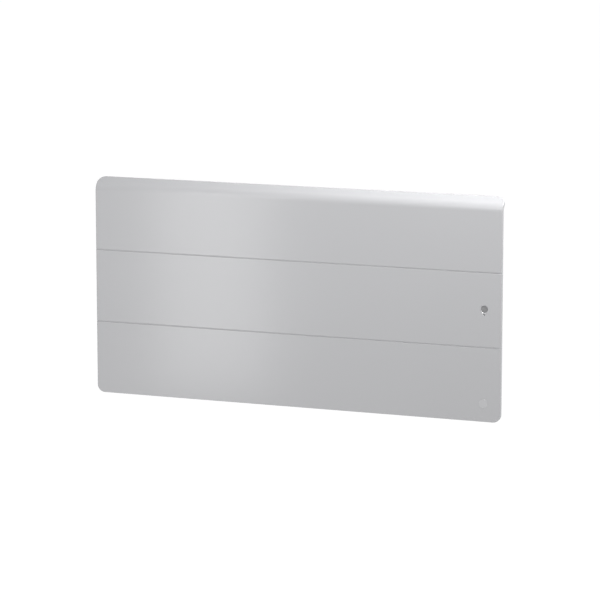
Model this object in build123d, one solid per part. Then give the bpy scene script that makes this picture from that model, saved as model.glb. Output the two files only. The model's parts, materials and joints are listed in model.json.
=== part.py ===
"""Electric wall panel heater that hangs on a two-rail wall bracket.

Millimetres. The origin is the centre of the four wall holes, on the wall plane. +X is to the right for
a person facing the heater, +Y goes into the wall and +Z is up, so the show face looks along -Y.
"""

import os
from math import cos, hypot, radians, sin

from build123d import *

# ---------------------------------------------------------------- driving dimensions

# front panel
PANEL_W = 975.0
PANEL_BOTTOM = -245.0
FRONT_Y = -110.0  # show face, so the heater stands 110 off the wall
PANEL_T = 2.5
CREASE_Z = PANEL_BOTTOM + 469.0  # the flat face ends here and bends back
BEND_R = 26.0
BEND_ANGLE = 48.0
SLOPE_L = 20.0  # flat stretch from the end of the bend to the top edge
RIM_DEPTH = 8.0
CORNER_R = 18.0
EDGE_R = 1.6
STRIP_H = 167.0  # height of each band between grooves
GROOVE_R = 1.7
GROOVE_DEPTH = 1.3

# presence sensor and status light, low in the middle band at the right
SENSOR_X = PANEL_W / 2 - 40.0
SENSOR_Z = PANEL_BOTTOM + 252.5
SENSOR_R = 7.5
SENSOR_BEVEL = (1.7, 1.9)  # across and deep
LIGHT_Z = SENSOR_Z - 12.5
LIGHT_R = 1.9
LIGHT_BEVEL = (0.4, 0.4)
BADGE_Z = PANEL_BOTTOM + 41.0
BADGE_R = 10.0

# casing behind the panel
BACK_Y = -18.0  # outside of the rear panel
SHEET = 1.2
CASE_TOP = 232.0
CASE_BOTTOM = -233.0
CHEEK_FRONT_X = 472.0
CHEEK_BACK_X = 447.0
CHEEK_FRONT_Y = FRONT_Y + PANEL_T + 2.0
CHEEK_T = 2.5
TRAY_X = 440.0
INSIDE_FRONT_Y = -102.6  # the tray, grille and control pod stop here
INSIDE_BACK_Y = BACK_Y - SHEET  # inside of the rear panel
POD_X = (292.0, 438.0)
REAR_SCREW_X = 432.0
REAR_SCREW_Z = (-190, -95, 0, 95, 190)

# wall bracket
BOLT_DX, BOLT_DZ = 500.0, 200.0
BOLT_R = 3.5
RAIL_X = BOLT_DX / 2
RAIL_W = 36.0
RAIL_T = 2.0
RAIL_Z = (-244.5, 208.0)
PIVOT_Y, PIVOT_Z = -9.0, -238.0
PIVOT_R = 3.0
CLIP_Z = 172.0
STUD_R = 2.5
PAD_Z = 194.0
CROSSBAR_Z = (-140.0, 140.0)

# heating element
ELEMENT_Y, ELEMENT_Z = -62.0, -110.0
ELEMENT_X = (-330.0, 222.0)
UPRIGHT_X = (-400.0, 272.0)
PANEL_SCREW_Z = (-180, 0, 180)
SHIELD_Y = -25.4

# mains entry and switch in the bottom tray
GLAND_X, ROCKER_X, MAINS_Y = 322.0, 388.0, -60.0
GLAND_R = 3.5
ROCKER_PIVOT_Z = CASE_BOTTOM + 4.0
ROCKER_REST = 9.0  # degrees that the rocker leans at rest

# power box
POWER_X, POWER_Z = (298.0, 420.0), (-196.0, -76.0)
BOARD_Y = -34.0

# control pod
POD_Y = (INSIDE_FRONT_Y, INSIDE_BACK_Y - 2.8)
POD_BOTTOM = 200.0
POD_MID_X = (POD_X[0] + POD_X[1]) / 2
BEZEL_Z = (CASE_TOP - 2.4, CASE_TOP)
SCREEN_Y = (-80.0, -56.0)
SCREEN_HALF = 31.0
CONTROL_BOARD_Z = (214.0, 215.6)
KEY_NAMES = ("key_mode", "key_minus", "key_ok", "key_plus", "key_timer")
KEY_SIZE = (15.0, 9.0)
KEY_PITCH = 22.0
KEY_Y = -38.0
KEY_CAP_Z = (BEZEL_Z[0] - 0.3, BEZEL_Z[1] + 1.2)
KEY_TRAVEL = 0.8

SIDES = (-1, 1)  # left and right, or near and far

# ---------------------------------------------------------------- helpers


def block(x, y, z):
    """A box from its (low, high) extents."""
    size = [high - low for low, high in (x, y, z)]
    middle = [(low + high) / 2 for low, high in (x, y, z)]
    return Pos(*middle) * Box(*size)


def around(centre, half):
    return centre - half, centre + half


def bar(radius, start, end):
    """A round bar from one point to the other."""
    axis = Vector(*end) - Vector(*start)
    return extrude(Plane(origin=start, z_dir=axis) * Circle(radius), amount=axis.length)


def ring(outer, inner, start, end):
    return bar(outer, start, end) - bar(inner, start, end)


def side_prism(face, x):
    """A (Y, Z) section run along X from low to high."""
    return extrude(Plane.YZ.offset(x[0]) * face, amount=x[1] - x[0])


def plan_prism(face, z):
    """An (X, Y) section run along Z from low to high."""
    return extrude(Plane.XY.offset(z[0]) * face, amount=z[1] - z[0])


def front_prism(face, y):
    """An (X, Z) section run along Y from low to high."""
    return extrude(Plane.XZ.offset(-y[1]) * face, amount=y[1] - y[0])


def polygon(*points):
    return make_face(Polyline(*points, close=True))


def group(solids):
    return Compound(children=list(solids))


def mirrored(shape):
    return mirror(shape, about=Plane.YZ)


def pan_screw(head_at, direction, length, radius=1.7, head=3.5):
    """A screw with a round recess, whose head sits at head_at and whose shank runs along direction."""
    way = Vector(*direction).normalized()
    seat = Vector(*head_at)
    head_h, recess_h = 2.2, 1.0
    cap = bar(head, seat - way * head_h, seat)
    recess = bar(0.9 * radius, seat - way * head_h, seat - way * (head_h - recess_h))
    return cap - recess + bar(radius, seat, seat + way * length)


def wire(points, radius, bend):
    path = FilletPolyline(*points, radius=bend)
    return sweep(Plane(origin=path @ 0, z_dir=path % 0) * Circle(radius), path=path)


# ---------------------------------------------------------------- front panel


def on_section(depth, turn, along=0.0):
    """(Y, Z) of a place behind the show face, after a turn round the bend and a way up the slope."""
    radius, angle = BEND_R - depth, radians(turn)
    y = FRONT_Y + BEND_R - radius * cos(angle) + along * sin(angle)
    return y, CREASE_Z + radius * sin(angle) + along * cos(angle)


def panel_slab(near, far, half_w, bottom, slope_l):
    """The panel's side section between two depths, run along X: upright, bent back, then sloping."""
    near_end, far_end = on_section(near, BEND_ANGLE, slope_l), on_section(far, BEND_ANGLE, slope_l)

    def bend(depth):
        return [on_section(depth, share * BEND_ANGLE) for share in (0, 0.5, 1)]

    outline = Curve() + [
        Line((FRONT_Y + near, bottom), bend(near)[0]),
        ThreePointArc(*bend(near)),
        Line(bend(near)[2], near_end),
        Line(near_end, far_end),
        Line(far_end, bend(far)[2]),
        ThreePointArc(*bend(far)),
        Line(bend(far)[0], (FRONT_Y + far, bottom)),
        Line((FRONT_Y + far, bottom), (FRONT_Y + near, bottom)),
    ]
    return side_prism(make_face(outline), (-half_w, half_w)), near_end


def corner_cutter(plane, radius):
    """What is left of a square corner outside a quarter circle, cut both ways along the plane's normal."""
    spare = 12.0
    square = Pos((spare - radius) / 2, (spare - radius) / 2) * Rectangle(radius + spare, radius + spare)
    return extrude(plane * (square - Pos(-radius, -radius) * Circle(radius)), amount=40, both=True)


def rounded_slab(near, far, inset, slope_l, radius):
    """A panel slab whose four corners are rounded in the surface that they lie in."""
    half_w, bottom = PANEL_W / 2 - inset, PANEL_BOTTOM + inset
    slab, (tip_y, tip_z) = panel_slab(near, far, half_w, bottom, slope_l)
    lean = radians(BEND_ANGLE)
    low = Plane(origin=(half_w, FRONT_Y, bottom), x_dir=(1, 0, 0), z_dir=(0, 1, 0))
    high = Plane(origin=(half_w, tip_y, tip_z), x_dir=(1, 0, 0), z_dir=(0, -cos(lean), sin(lean)))
    for plane in (low, high):
        cutter = corner_cutter(plane, radius)
        slab -= cutter
        slab -= mirrored(cutter)
    return slab


BEND_LINES_Z = (CREASE_Z, on_section(0, BEND_ANGLE)[1])


def on_show_face(point):
    """True for a point on the upright face, the bend or the slope."""
    if point.Z <= BEND_LINES_Z[0]:
        gap = point.Y - FRONT_Y
    elif point.Z <= BEND_LINES_Z[1]:
        gap = hypot(point.Y - FRONT_Y - BEND_R, point.Z - CREASE_Z) - BEND_R
    else:
        foot_y, foot_z = on_section(0, BEND_ANGLE)
        lean = radians(BEND_ANGLE)
        gap = (point.Y - foot_y) * cos(lean) - (point.Z - foot_z) * sin(lean)
    return abs(gap) < 0.01


def is_show_edge(edge):
    """True for the edges round the outside of the show face, and not for its two bend lines."""
    points = [edge @ share for share in (0.0, 0.5, 1.0)]
    bend_line = any(all(abs(p.Z - z) < 0.01 for p in points) for z in BEND_LINES_Z)
    return all(on_show_face(p) for p in points) and not bend_line


def make_front_panel():
    panel = rounded_slab(0, RIM_DEPTH, 0, SLOPE_L, CORNER_R)
    panel = fillet(panel.edges().filter_by(is_show_edge), EDGE_R)
    panel -= rounded_slab(PANEL_T, RIM_DEPTH + 4, PANEL_T, SLOPE_L - PANEL_T, CORNER_R - PANEL_T)
    for strips in (1, 2):
        z = PANEL_BOTTOM + strips * STRIP_H
        y = FRONT_Y - GROOVE_R + GROOVE_DEPTH
        panel -= bar(GROOVE_R, (-PANEL_W, y, z), (PANEL_W, y, z))
    holes = ((SENSOR_Z, SENSOR_R, SENSOR_BEVEL), (LIGHT_Z, LIGHT_R, LIGHT_BEVEL))
    for z, radius, (across, deep) in holes:
        panel -= bar(radius, (SENSOR_X, FRONT_Y - 1, z), (SENSOR_X, FRONT_Y + 12, z))
        rim = Plane(origin=(SENSOR_X, FRONT_Y, z), z_dir=(0, 1, 0))
        panel -= loft([rim * Circle(radius + across), rim.offset(deep) * Circle(radius)])
    return panel


def make_badge_disc():
    z = BADGE_Z
    disc = bar(BADGE_R, (SENSOR_X, FRONT_Y - 0.4, z), (SENSOR_X, FRONT_Y, z))
    return fillet(disc.edges().sort_by(Axis.Y)[0], 0.3)


def make_panel_rails():
    """Bonded strips that the uprights screw to."""
    rails = []
    for x in UPRIGHT_X:
        strip = block(around(x, 11), (FRONT_Y + PANEL_T + 0.05, FRONT_Y + 6.9), (-222, 205))
        for z in PANEL_SCREW_Z:
            strip -= bar(1.75, (x - 7, FRONT_Y + 3.8, z), (x - 7, FRONT_Y + 8, z))
        rails.append(strip)
    return group(rails)


def make_radiant_film():
    face = RectangleRounded(618, 420, 8)
    x = (UPRIGHT_X[0] + UPRIGHT_X[1]) / 2
    y = FRONT_Y + PANEL_T
    return front_prism(Pos(x, -8) * face, (y + 0.05, y + 0.85))


def make_insulation_mat():
    x = (UPRIGHT_X[0] + UPRIGHT_X[1]) / 2
    y = FRONT_Y + PANEL_T + 0.9
    return front_prism(Pos(x, -8) * RectangleRounded(612, 414, 6), (y, y + 3.0))


# ---------------------------------------------------------------- casing


def cheek_x(y):
    """Outside of the cheek at a depth, on its slanting side."""
    share = (y - CHEEK_FRONT_Y) / (BACK_Y - CHEEK_FRONT_Y)
    return CHEEK_FRONT_X + (CHEEK_BACK_X - CHEEK_FRONT_X) * share


def make_cheek():
    """The right-hand side cover: a slanting wall with a lip behind and webs at the top and bottom."""
    front_y = CHEEK_FRONT_Y
    lip_y = INSIDE_BACK_Y - 0.1
    wall = polygon(
        (cheek_x(front_y), front_y),
        (CHEEK_BACK_X, BACK_Y),
        (CHEEK_BACK_X - CHEEK_T, BACK_Y),
        (cheek_x(front_y) - CHEEK_T, front_y),
    )
    web = polygon(
        (cheek_x(front_y) - 1, front_y),
        (cheek_x(lip_y) - 1, lip_y - 1),
        (TRAY_X + 0.3, lip_y - 1),
        (TRAY_X + 0.3, front_y),
    )
    cheek = plan_prism(wall, (CASE_BOTTOM, CASE_TOP))
    for z in (CASE_BOTTOM, CASE_TOP - CHEEK_T):
        cheek += plan_prism(web, (z, z + CHEEK_T))
    cheek += block((424, CHEEK_BACK_X - 2), (lip_y - CHEEK_T, lip_y), (CASE_BOTTOM + 12.4, CASE_TOP - 11.4))
    upright_edges = cheek.edges().filter_by(Axis.Z)
    outer_back = [e for e in upright_edges if e.center().X > 446 and e.center().Y > BACK_Y - 0.1]
    cheek = fillet(outer_back, 2.0)
    for z in REAR_SCREW_Z:
        cheek -= bar(1.8, (REAR_SCREW_X, lip_y - 6, z), (REAR_SCREW_X, lip_y + 1, z))
    slots = Sketch() + [Pos(-60, z) * SlotOverall(34, 4) for z in range(-190, -100, 12)]
    return cheek - side_prism(slots, around(cheek_x(-60), 8))


def make_rear_panel():
    """Flat back sheet with stiffening ribs, a turned edge and rows of louvre slots."""
    half_w = CHEEK_BACK_X - CHEEK_T - 0.3
    outline = RectangleRounded(2 * half_w, CASE_TOP - CASE_BOTTOM - 3, 4)
    sheet = front_prism(outline, (INSIDE_BACK_Y, BACK_Y))
    slot_rows = (-206, -194, -182, 182, 194, 206)
    slots = [Pos(x, z) * SlotOverall(30, 5) for x in range(-190, 191, 42) for z in slot_rows]
    sheet -= front_prism(Sketch() + slots, (INSIDE_BACK_Y - 1, BACK_Y + 1))
    for z in (-70, 0, 70):
        rib = block((-205, 205), (BACK_Y - 0.3, BACK_Y + 1.6), around(z, 7))
        sheet += fillet(rib.edges().filter_by(Axis.Y), 6.5)
    for side in SIDES:
        holes = [(REAR_SCREW_X, z, 2.0) for z in REAR_SCREW_Z] + [(RAIL_X, CLIP_Z, STUD_R + 0.05)]
        for x, z, radius in holes:
            sheet -= bar(radius, (side * x, BACK_Y - 3, z), (side * x, BACK_Y + 1, z))
    return sheet


def make_rear_screws():
    """Round-recess screws that hold the rear panel to the cheeks."""
    spots = [(side * REAR_SCREW_X, BACK_Y, z) for side in SIDES for z in REAR_SCREW_Z]
    return group(pan_screw(p, (0, -1, 0), 5.5) for p in spots)


def make_bottom_tray():
    """Bottom sheet with turned-up edges, inlet slots and holes for the gland and the rocker."""
    low, rear = CASE_BOTTOM, INSIDE_BACK_Y - 0.1
    section = polygon(
        (rear, low + 12),
        (rear, low),
        (INSIDE_FRONT_Y, low),
        (INSIDE_FRONT_Y, low + 8),
        (INSIDE_FRONT_Y + SHEET, low + 8),
        (INSIDE_FRONT_Y + SHEET, low + SHEET),
        (rear - SHEET, low + SHEET),
        (rear - SHEET, low + 12),
    )
    tray = side_prism(section, (-TRAY_X, TRAY_X))
    slots = [Pos(x, y) * SlotOverall(24, 5) for x in range(-400, 281, 34) for y in range(-84, -29, 11)]
    tray -= plan_prism(Sketch() + slots, (low - 1, low + 5))
    tray -= bar(7.1, (GLAND_X, MAINS_Y, low - 1), (GLAND_X, MAINS_Y, low + 5))
    return tray - block(around(ROCKER_X, 13.7), around(MAINS_Y, 7.6), (low - 1, low + 5))


def make_outlet_grille():
    """Top grille: a frame with sloping blades that run its whole length, and cross ribs."""
    x = (-TRAY_X, POD_X[0] - 1)
    y = (INSIDE_FRONT_Y, INSIDE_BACK_Y - 0.1)
    z = (CASE_TOP - 11, CASE_TOP)
    grille = block(x, y, z) - block((x[0] + 4, x[1] - 4), (y[0] + 4, y[1] - 4), (z[0] - 1, z[1] + 1))
    blade_t, lean, blade_top = 1.6, 4.2, z[1] - 0.6
    for n in range(7):
        foot = y[0] + 9.0 + 10.0 * n
        tip = foot - lean
        blade = polygon((foot, z[0]), (foot + blade_t, z[0]), (tip + blade_t, blade_top), (tip, blade_top))
        grille += side_prism(blade, (x[0] + 3, x[1] - 3))
    ribs = 8
    for n in range(1, ribs):
        rib_x = x[0] + (x[1] - x[0]) * n / ribs
        grille += block(around(rib_x, 1.2), (y[0] + 3, y[1] - 3), (z[0], z[1] - 3))
    return grille


def make_upright(x):
    """Steel channel from the rear panel to the front panel, pierced so that air can cross."""
    front_y, rear_y = FRONT_Y + 7.0, INSIDE_BACK_Y - 0.1
    z = (CASE_BOTTOM + 14, CASE_TOP - 14)
    channel = block((x - 15, x), (front_y, rear_y), z)
    channel -= block((x - 16, x - SHEET), (front_y + SHEET, rear_y - SHEET), (z[0] - 1, z[1] + 1))
    for hole_z in range(-170, 171, 68):
        channel -= bar(20, (x - 4, -60, hole_z), (x + 2, -60, hole_z))
    for screw_z in PANEL_SCREW_Z:
        channel -= bar(2.1, (x - 7, front_y - 2, screw_z), (x - 7, front_y + 3, screw_z))
    return channel


def make_panel_screws():
    spots = [(x - 7, FRONT_Y + 7.0 + SHEET, z) for x in UPRIGHT_X for z in PANEL_SCREW_Z]
    return group(pan_screw(p, (0, -1, 0), 4.2, radius=1.6) for p in spots)


# ---------------------------------------------------------------- heating


def make_heat_shield():
    """Bright sheet between the element and the rear panel, turned forward at the top and bottom."""
    x = (UPRIGHT_X[0] + 4, UPRIGHT_X[1] - 20)
    shield = block(x, (SHIELD_Y, SHIELD_Y + 0.8), (-205, 200))
    shield += block(x, (SHIELD_Y - 14, SHIELD_Y + 0.8), (-205, -204.2))
    for bead_z in (-150, -30, 90, 170):
        shield += bar(1.6, (x[0] + 20, SHIELD_Y, bead_z), (x[1] - 20, SHIELD_Y, bead_z))
    return shield


def make_shield_spacers():
    spots = [(x, z) for x in (-360, -70, 225) for z in (-175, 60)]
    return group(
        ring(5, 2, (x, SHIELD_Y + 0.85, z), (x, INSIDE_BACK_Y - 0.05, z)) for x, z in spots
    )


def make_air_deflector():
    """Curved sheet above the element that turns the warm air towards the room."""
    inner, outer = 62.0, 62.8
    centre = (SHIELD_Y - 2.2 - outer, 155.0)
    bend = Pos(*centre) * (Circle(outer) - Circle(inner))
    quarter = Pos(centre[0] + outer / 2, centre[1] + outer / 2) * Rectangle(outer, outer)
    trim = Pos(centre[0], centre[1] + outer / 2) * Rectangle(50, outer + 4)
    return side_prism(bend & quarter - trim, (UPRIGHT_X[0] + 6, UPRIGHT_X[1] - 22))


def make_heating_body():
    """Finned aluminium extrusion cast round the heating rod."""
    y, z = ELEMENT_Y, ELEMENT_Z
    section = Pos(y, z) * (Rectangle(5, 96) + Circle(10))
    for n in range(-3, 4):
        half = 24 - 1.5 * abs(n)
        section += Pos(y, z + 15 * n) * Rectangle(2 * half, 2.2)
    section -= Pos(y, z) * Circle(4.35)
    body = side_prism(section, ELEMENT_X)
    gaps = range(int(ELEMENT_X[0]) + 46, int(ELEMENT_X[1]) - 30, 46)
    for side in SIDES:
        for x in gaps:
            body -= block(around(x, 1.5), tuple(sorted((y + side * 12, y + side * 30))), around(z, 52))
    return body


def make_element_rod():
    rod = bar(4.25, (ELEMENT_X[0] - 26, ELEMENT_Y, ELEMENT_Z), (ELEMENT_X[1] + 26, ELEMENT_Y, ELEMENT_Z))
    for side, x in zip(SIDES, ELEMENT_X):
        tip = x + side * 26
        rod += block(tuple(sorted((tip, tip + side * 9))), around(ELEMENT_Y, 3.1), around(ELEMENT_Z, 0.4))
    return rod


def make_element_insulators():
    """Ceramic collars between the rod and its brackets."""
    collars = []
    for side, x in zip(SIDES, ELEMENT_X):
        near, far = x + side * 2, x + side * 22
        collar = bar(8, (near, ELEMENT_Y, ELEMENT_Z), (far, ELEMENT_Y, ELEMENT_Z))
        waist = x + side * 12
        groove = ring(12, 6.5, (waist - 1.2, ELEMENT_Y, ELEMENT_Z), (waist + 1.2, ELEMENT_Y, ELEMENT_Z))
        bore = bar(4.35, (near - side, ELEMENT_Y, ELEMENT_Z), (far + side, ELEMENT_Y, ELEMENT_Z))
        collars.append(collar - groove - bore)
    return group(collars)


def make_element_brackets():
    """Sheet brackets whose notched plates sit in the collars' grooves."""
    brackets = []
    for side, x in zip(SIDES, ELEMENT_X):
        plate_x = around(x + side * 12, 0.8)
        notch_x = around(x + side * 12, 1.8)
        notch_r = 6.7
        foot_y = SHIELD_Y - 1.8
        plate = block(plate_x, (ELEMENT_Y - 14, foot_y), around(ELEMENT_Z, 16))
        plate -= bar(notch_r, (notch_x[0], ELEMENT_Y, ELEMENT_Z), (notch_x[1], ELEMENT_Y, ELEMENT_Z))
        plate -= block(notch_x, (ELEMENT_Y - 20, ELEMENT_Y), around(ELEMENT_Z, notch_r))
        foot_x = (plate_x[0], plate_x[1] + 14) if side > 0 else (plate_x[0] - 14, plate_x[1])
        foot = block(foot_x, (foot_y - 1.6, foot_y), around(ELEMENT_Z, 16))
        brackets.append(plate + foot)
    return group(brackets)


def make_thermal_cutout():
    """Snap-disc safety cut-out on its strap, above the element."""
    x, y, z = 60.0, SHIELD_Y - 1.8, -20.0
    strap = block(around(x, 16), (y - 1.0, y), around(z, 6))
    can = bar(8.0, (x, y - 8.5, z), (x, y - 1.0, z)) + bar(6.0, (x, y - 13, z), (x, y - 8.5, z))
    tabs = [block(around(x + side * 4.4, 0.4), (y - 21, y - 13), around(z, 3.1)) for side in SIDES]
    return strap + can + tabs[0] + tabs[1]


def make_room_sensor():
    """Bead thermistor in a clip above the inlet slots."""
    x, y, z = 250.0, -86.0, CASE_BOTTOM + SHEET
    clip = block(around(x, 5), around(y, 4), (z, z + 3))
    stem = bar(1.5, (x, y, z + 3), (x, y, z + 14))
    bead = Pos(x, y, z + 15) * Sphere(2.6)
    return clip + stem + bead


# ---------------------------------------------------------------- power electronics


def make_power_tray():
    y = (-62.0, INSIDE_BACK_Y - 3.0)
    tray = block(POWER_X, y, POWER_Z)
    inner_x = POWER_X[0] + 2, POWER_X[1] - 2
    inner_z = POWER_Z[0] + 2, POWER_Z[1] - 2
    tray -= block(inner_x, (y[0] - 1, y[1] - 2), inner_z)
    tray -= block((330, 350), (-60, -40), (POWER_Z[0] - 1, POWER_Z[0] + 3))
    tray -= block((380, 400), (-60, -40), (POWER_Z[1] - 3, POWER_Z[1] + 1))
    tray -= block((POWER_X[0] - 1, POWER_X[0] + 3), (-56, -44), (-118, -102))
    for x in (POWER_X[0] + 8, POWER_X[1] - 8):
        for z in (POWER_Z[0] + 8, POWER_Z[1] - 8):
            tray += bar(3, (x, BOARD_Y + 0.9, z), (x, y[1] - 1, z))
    return tray


def make_power_cover():
    cover = block(POWER_X, (-64.4, -62.05), POWER_Z)
    slots = [Pos(x, z) * SlotOverall(40, 3) for x in (330, 388) for z in range(-180, -90, 9)]
    return cover - front_prism(Sketch() + slots, (-66, -61))


def make_power_board():
    x = POWER_X[0] + 4, POWER_X[1] - 4
    z = POWER_Z[0] + 4, POWER_Z[1] - 4
    return block(x, around(BOARD_Y, 0.8), z)


def make_board_parts():
    """Relay, capacitors, fuse, transformer and triac on the power board."""
    face = BOARD_Y - 0.8
    relay = block((362, 391), (face - 16, face), (-130, -117))
    transformer = block((310, 338), (face - 22, face), (-110, -84))
    film_cap = block((346, 354), (face - 14, face), (-112, -88))
    fuse = bar(2.6, (362, face - 3, -100), (382, face - 3, -100))
    capacitors = ((346, -132, 5, 13), (318, -126, 4, 11))  # x, z, radius, height
    cans = [bar(radius, (x, face, z), (x, face - height, z)) for x, z, radius, height in capacitors]
    triac = block((401, 405), (face - 16, face), (-132, -122))
    chip = block((322, 334), (face - 2.4, face), (-146, -138))
    return group([relay, transformer, film_cap, fuse, *cans, triac, chip])


def make_heatsink():
    base = block((405.05, 408), (BOARD_Y - 20, BOARD_Y - 0.8), (-158, -96))
    for n in range(6):
        z = -155 + 11 * n
        base += block((407.5, 414), (BOARD_Y - 20, BOARD_Y - 0.8), (z, z + 1.8))
    return base


def make_terminal_block():
    """Five-way mains terminal with wire throats and clamp screws."""
    face = BOARD_Y - 0.8
    body = block((306, 366), (face - 18, face), (-188, -168))
    for n in range(5):
        x = 312 + 12 * n
        body -= block(around(x, 3.2), (face - 9, face - 3), (-189, -178))
        body -= bar(2.6, (x, face - 19, -174), (x, face - 12, -174))
        body += bar(2.2, (x, face - 15, -174), (x, face - 11, -174)) - block(
            around(x, 0.4), (face - 16, face - 14.2), around(-174, 3)
        )
    return body


def make_element_leads():
    """Silicone leads from the power box to both ends of the heating rod."""
    start_y, exit_z = -50.0, -106.0
    near_end = (ELEMENT_X[1] + 35.5, ELEMENT_Y, ELEMENT_Z)
    near = wire([(304, start_y, exit_z), (286, start_y, exit_z), (272, -58, -108), near_end], 1.6, 5)
    far_end = (ELEMENT_X[0] - 35.5, ELEMENT_Y, ELEMENT_Z)
    far = wire(
        [
            (304, start_y, exit_z - 7),
            (286, start_y, exit_z - 7),
            (262, -46, exit_z - 10),
            (248, -40, -152),
            (222, -40, -184),
            (150, -40, -186),
            (-120, -40, -186),
            (-340, -40, -180),
            (-378, -50, -150),
            (-376, -62, -116),
            far_end,
        ],
        1.6,
        6,
    )
    return group([near, far])


def make_ribbon_cable():
    """Flat cable from the power board up to the control pod."""
    path = [(-52, POWER_Z[1] - 10), (-52, 40), (-74, 80), (-74, 199)]
    section = Polyline(*path)
    strip = offset(section, amount=0.6, kind=Kind.ARC)
    return side_prism(make_face(strip), (383, 397))


def make_earth_lead():
    x, z = 286.0, -160.0
    lead = wire([(340, -46, -190), (340, -46, -204), (300, -40, -206), (x, -30, -190), (x, -24, z)], 1.5, 6)
    tag = ring(4.5, 2.1, (x, INSIDE_BACK_Y - 1.3, z), (x, INSIDE_BACK_Y - 0.3, z))
    tag += block(around(x, 2.4), (INSIDE_BACK_Y - 5.5, INSIDE_BACK_Y - 0.3), (z - 4.6, z - 3.4))
    return group([lead, tag])


# ---------------------------------------------------------------- mains entry and switch


def make_cable_gland():
    x, y, low = GLAND_X, MAINS_Y, CASE_BOTTOM
    gland = bar(9.5, (x, y, low - 7.5), (x, y, low))
    gland = chamfer(gland.edges().sort_by(Axis.Z)[0], 1.6)
    gland += bar(7.0, (x, y, low - 0.5), (x, y, low + 12.5))
    for n in range(12):
        flute = Pos(x, y) * (Rotation(0, 0, 30 * n) * (Pos(9.9, 0) * Circle(1.0)))
        gland -= plan_prism(flute, (low - 5.5, low - 0.8))
    return gland - bar(GLAND_R, (x, y, low - 9), (x, y, low + 14))


def make_gland_nut():
    low = CASE_BOTTOM + SHEET + 0.05
    hexagon = Pos(GLAND_X, MAINS_Y) * (RegularPolygon(10.5, 6) - Circle(7.1))
    return plan_prism(hexagon, (low, low + 5))


def make_rocker_body():
    """Snap-in switch housing with a rectangular well and three tab terminals."""
    low = CASE_BOTTOM
    body = block(around(ROCKER_X, 16), around(MAINS_Y, 9.5), (low - 1.6, low - 0.05))
    body = fillet(body.edges().filter_by(Axis.Z), 1.5)
    body += block(around(ROCKER_X, 13.5), around(MAINS_Y, 7.4), (low - 0.5, low + 18))
    body -= block(around(ROCKER_X, 12.0), around(MAINS_Y, 6.1), (low - 2, low + 13))
    body -= bar(1.55, (ROCKER_X, MAINS_Y - 7.5, ROCKER_PIVOT_Z), (ROCKER_X, MAINS_Y + 7.5, ROCKER_PIVOT_Z))
    for n in (-1, 0, 1):
        body += block(around(ROCKER_X + 8 * n, 0.4), around(MAINS_Y, 3.1), (low + 17, low + 26))
    return body


def make_rocker_button():
    """Rocker leaning to its off side, on two small trunnions."""
    right = ((10.4, -6.4), (10.6, 0.5), (4.0, 5.5))
    left = [(-x, z) for x, z in reversed(right)]
    shape = polygon((0, -5.2), *right, *left)
    button = fillet(front_prism(shape, (-5.8, 5.8)).edges().filter_by(Axis.Y), 0.8)
    button += bar(1.5, (0, -7.2, 0), (0, 7.2, 0))
    return Pos(ROCKER_X, MAINS_Y, ROCKER_PIVOT_Z) * Rotation(0, -ROCKER_REST, 0) * button


# ---------------------------------------------------------------- control pod


def key_x(n):
    return POD_MID_X + KEY_PITCH * (n - (len(KEY_NAMES) - 1) / 2)


def make_pod_housing():
    z = (POD_BOTTOM, BEZEL_Z[0] - 0.05)
    pod = fillet(block(POD_X, POD_Y, z).edges().filter_by(Axis.Z), 3)
    pod -= block((POD_X[0] + 2, POD_X[1] - 2), (POD_Y[0] + 2, POD_Y[1] - 2), (z[0] + 2, z[1] + 1))
    pod -= block((381, 399), (-76, -72), (z[0] - 1, z[0] + 3))
    for x in (POD_X[0] + 7, POD_X[1] - 7):
        for y in (POD_Y[0] + 7, POD_Y[1] - 7):
            pod += bar(3, (x, y, z[0] + 1), (x, y, CONTROL_BOARD_Z[0] - 0.05))
    return pod


def make_pod_bezel():
    """Top plate of the pod, with key holes and a seat for the window."""
    bezel = fillet(block(POD_X, POD_Y, BEZEL_Z).edges().filter_by(Axis.Z), 3)
    bezel = fillet(bezel.edges().group_by(Axis.Z)[-1], 1.0)
    for n in range(len(KEY_NAMES)):
        hole = Pos(key_x(n), KEY_Y) * RectangleRounded(KEY_SIZE[0] + 0.6, KEY_SIZE[1] + 0.6, 2.3)
        bezel -= plan_prism(hole, (BEZEL_Z[0] - 1, BEZEL_Z[1] + 1))
    bezel -= block(around(POD_MID_X, SCREEN_HALF), SCREEN_Y, (BEZEL_Z[1] - 1.2, BEZEL_Z[1] + 1))
    sight = around(POD_MID_X, SCREEN_HALF - 3)
    return bezel - block(sight, (SCREEN_Y[0] + 3, SCREEN_Y[1] - 3), (BEZEL_Z[0] - 1, BEZEL_Z[1] + 1))


def make_display_window():
    x = around(POD_MID_X, SCREEN_HALF - 0.15)
    y = SCREEN_Y[0] + 0.15, SCREEN_Y[1] - 0.15
    window = block(x, y, (BEZEL_Z[1] - 1.15, BEZEL_Z[1] - 0.1))
    return fillet(window.edges().filter_by(Axis.Z), 1.0)


def make_lcd_module():
    x = around(POD_MID_X, SCREEN_HALF + 1)
    glass = block(x, (SCREEN_Y[0] - 1, SCREEN_Y[1] + 1), (BEZEL_Z[0] - 3.4, BEZEL_Z[0] - 0.4))
    leg_z = (CONTROL_BOARD_Z[1] + 0.05, BEZEL_Z[0] - 3)
    for side in SIDES:
        glass += block(around(POD_MID_X + side * (SCREEN_HALF - 2), 1.5), SCREEN_Y, leg_z)
    return glass


def make_control_board():
    x = POD_X[0] + 3, POD_X[1] - 3
    return block(x, (POD_Y[0] + 3, POD_Y[1] - 3), CONTROL_BOARD_Z)


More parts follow.
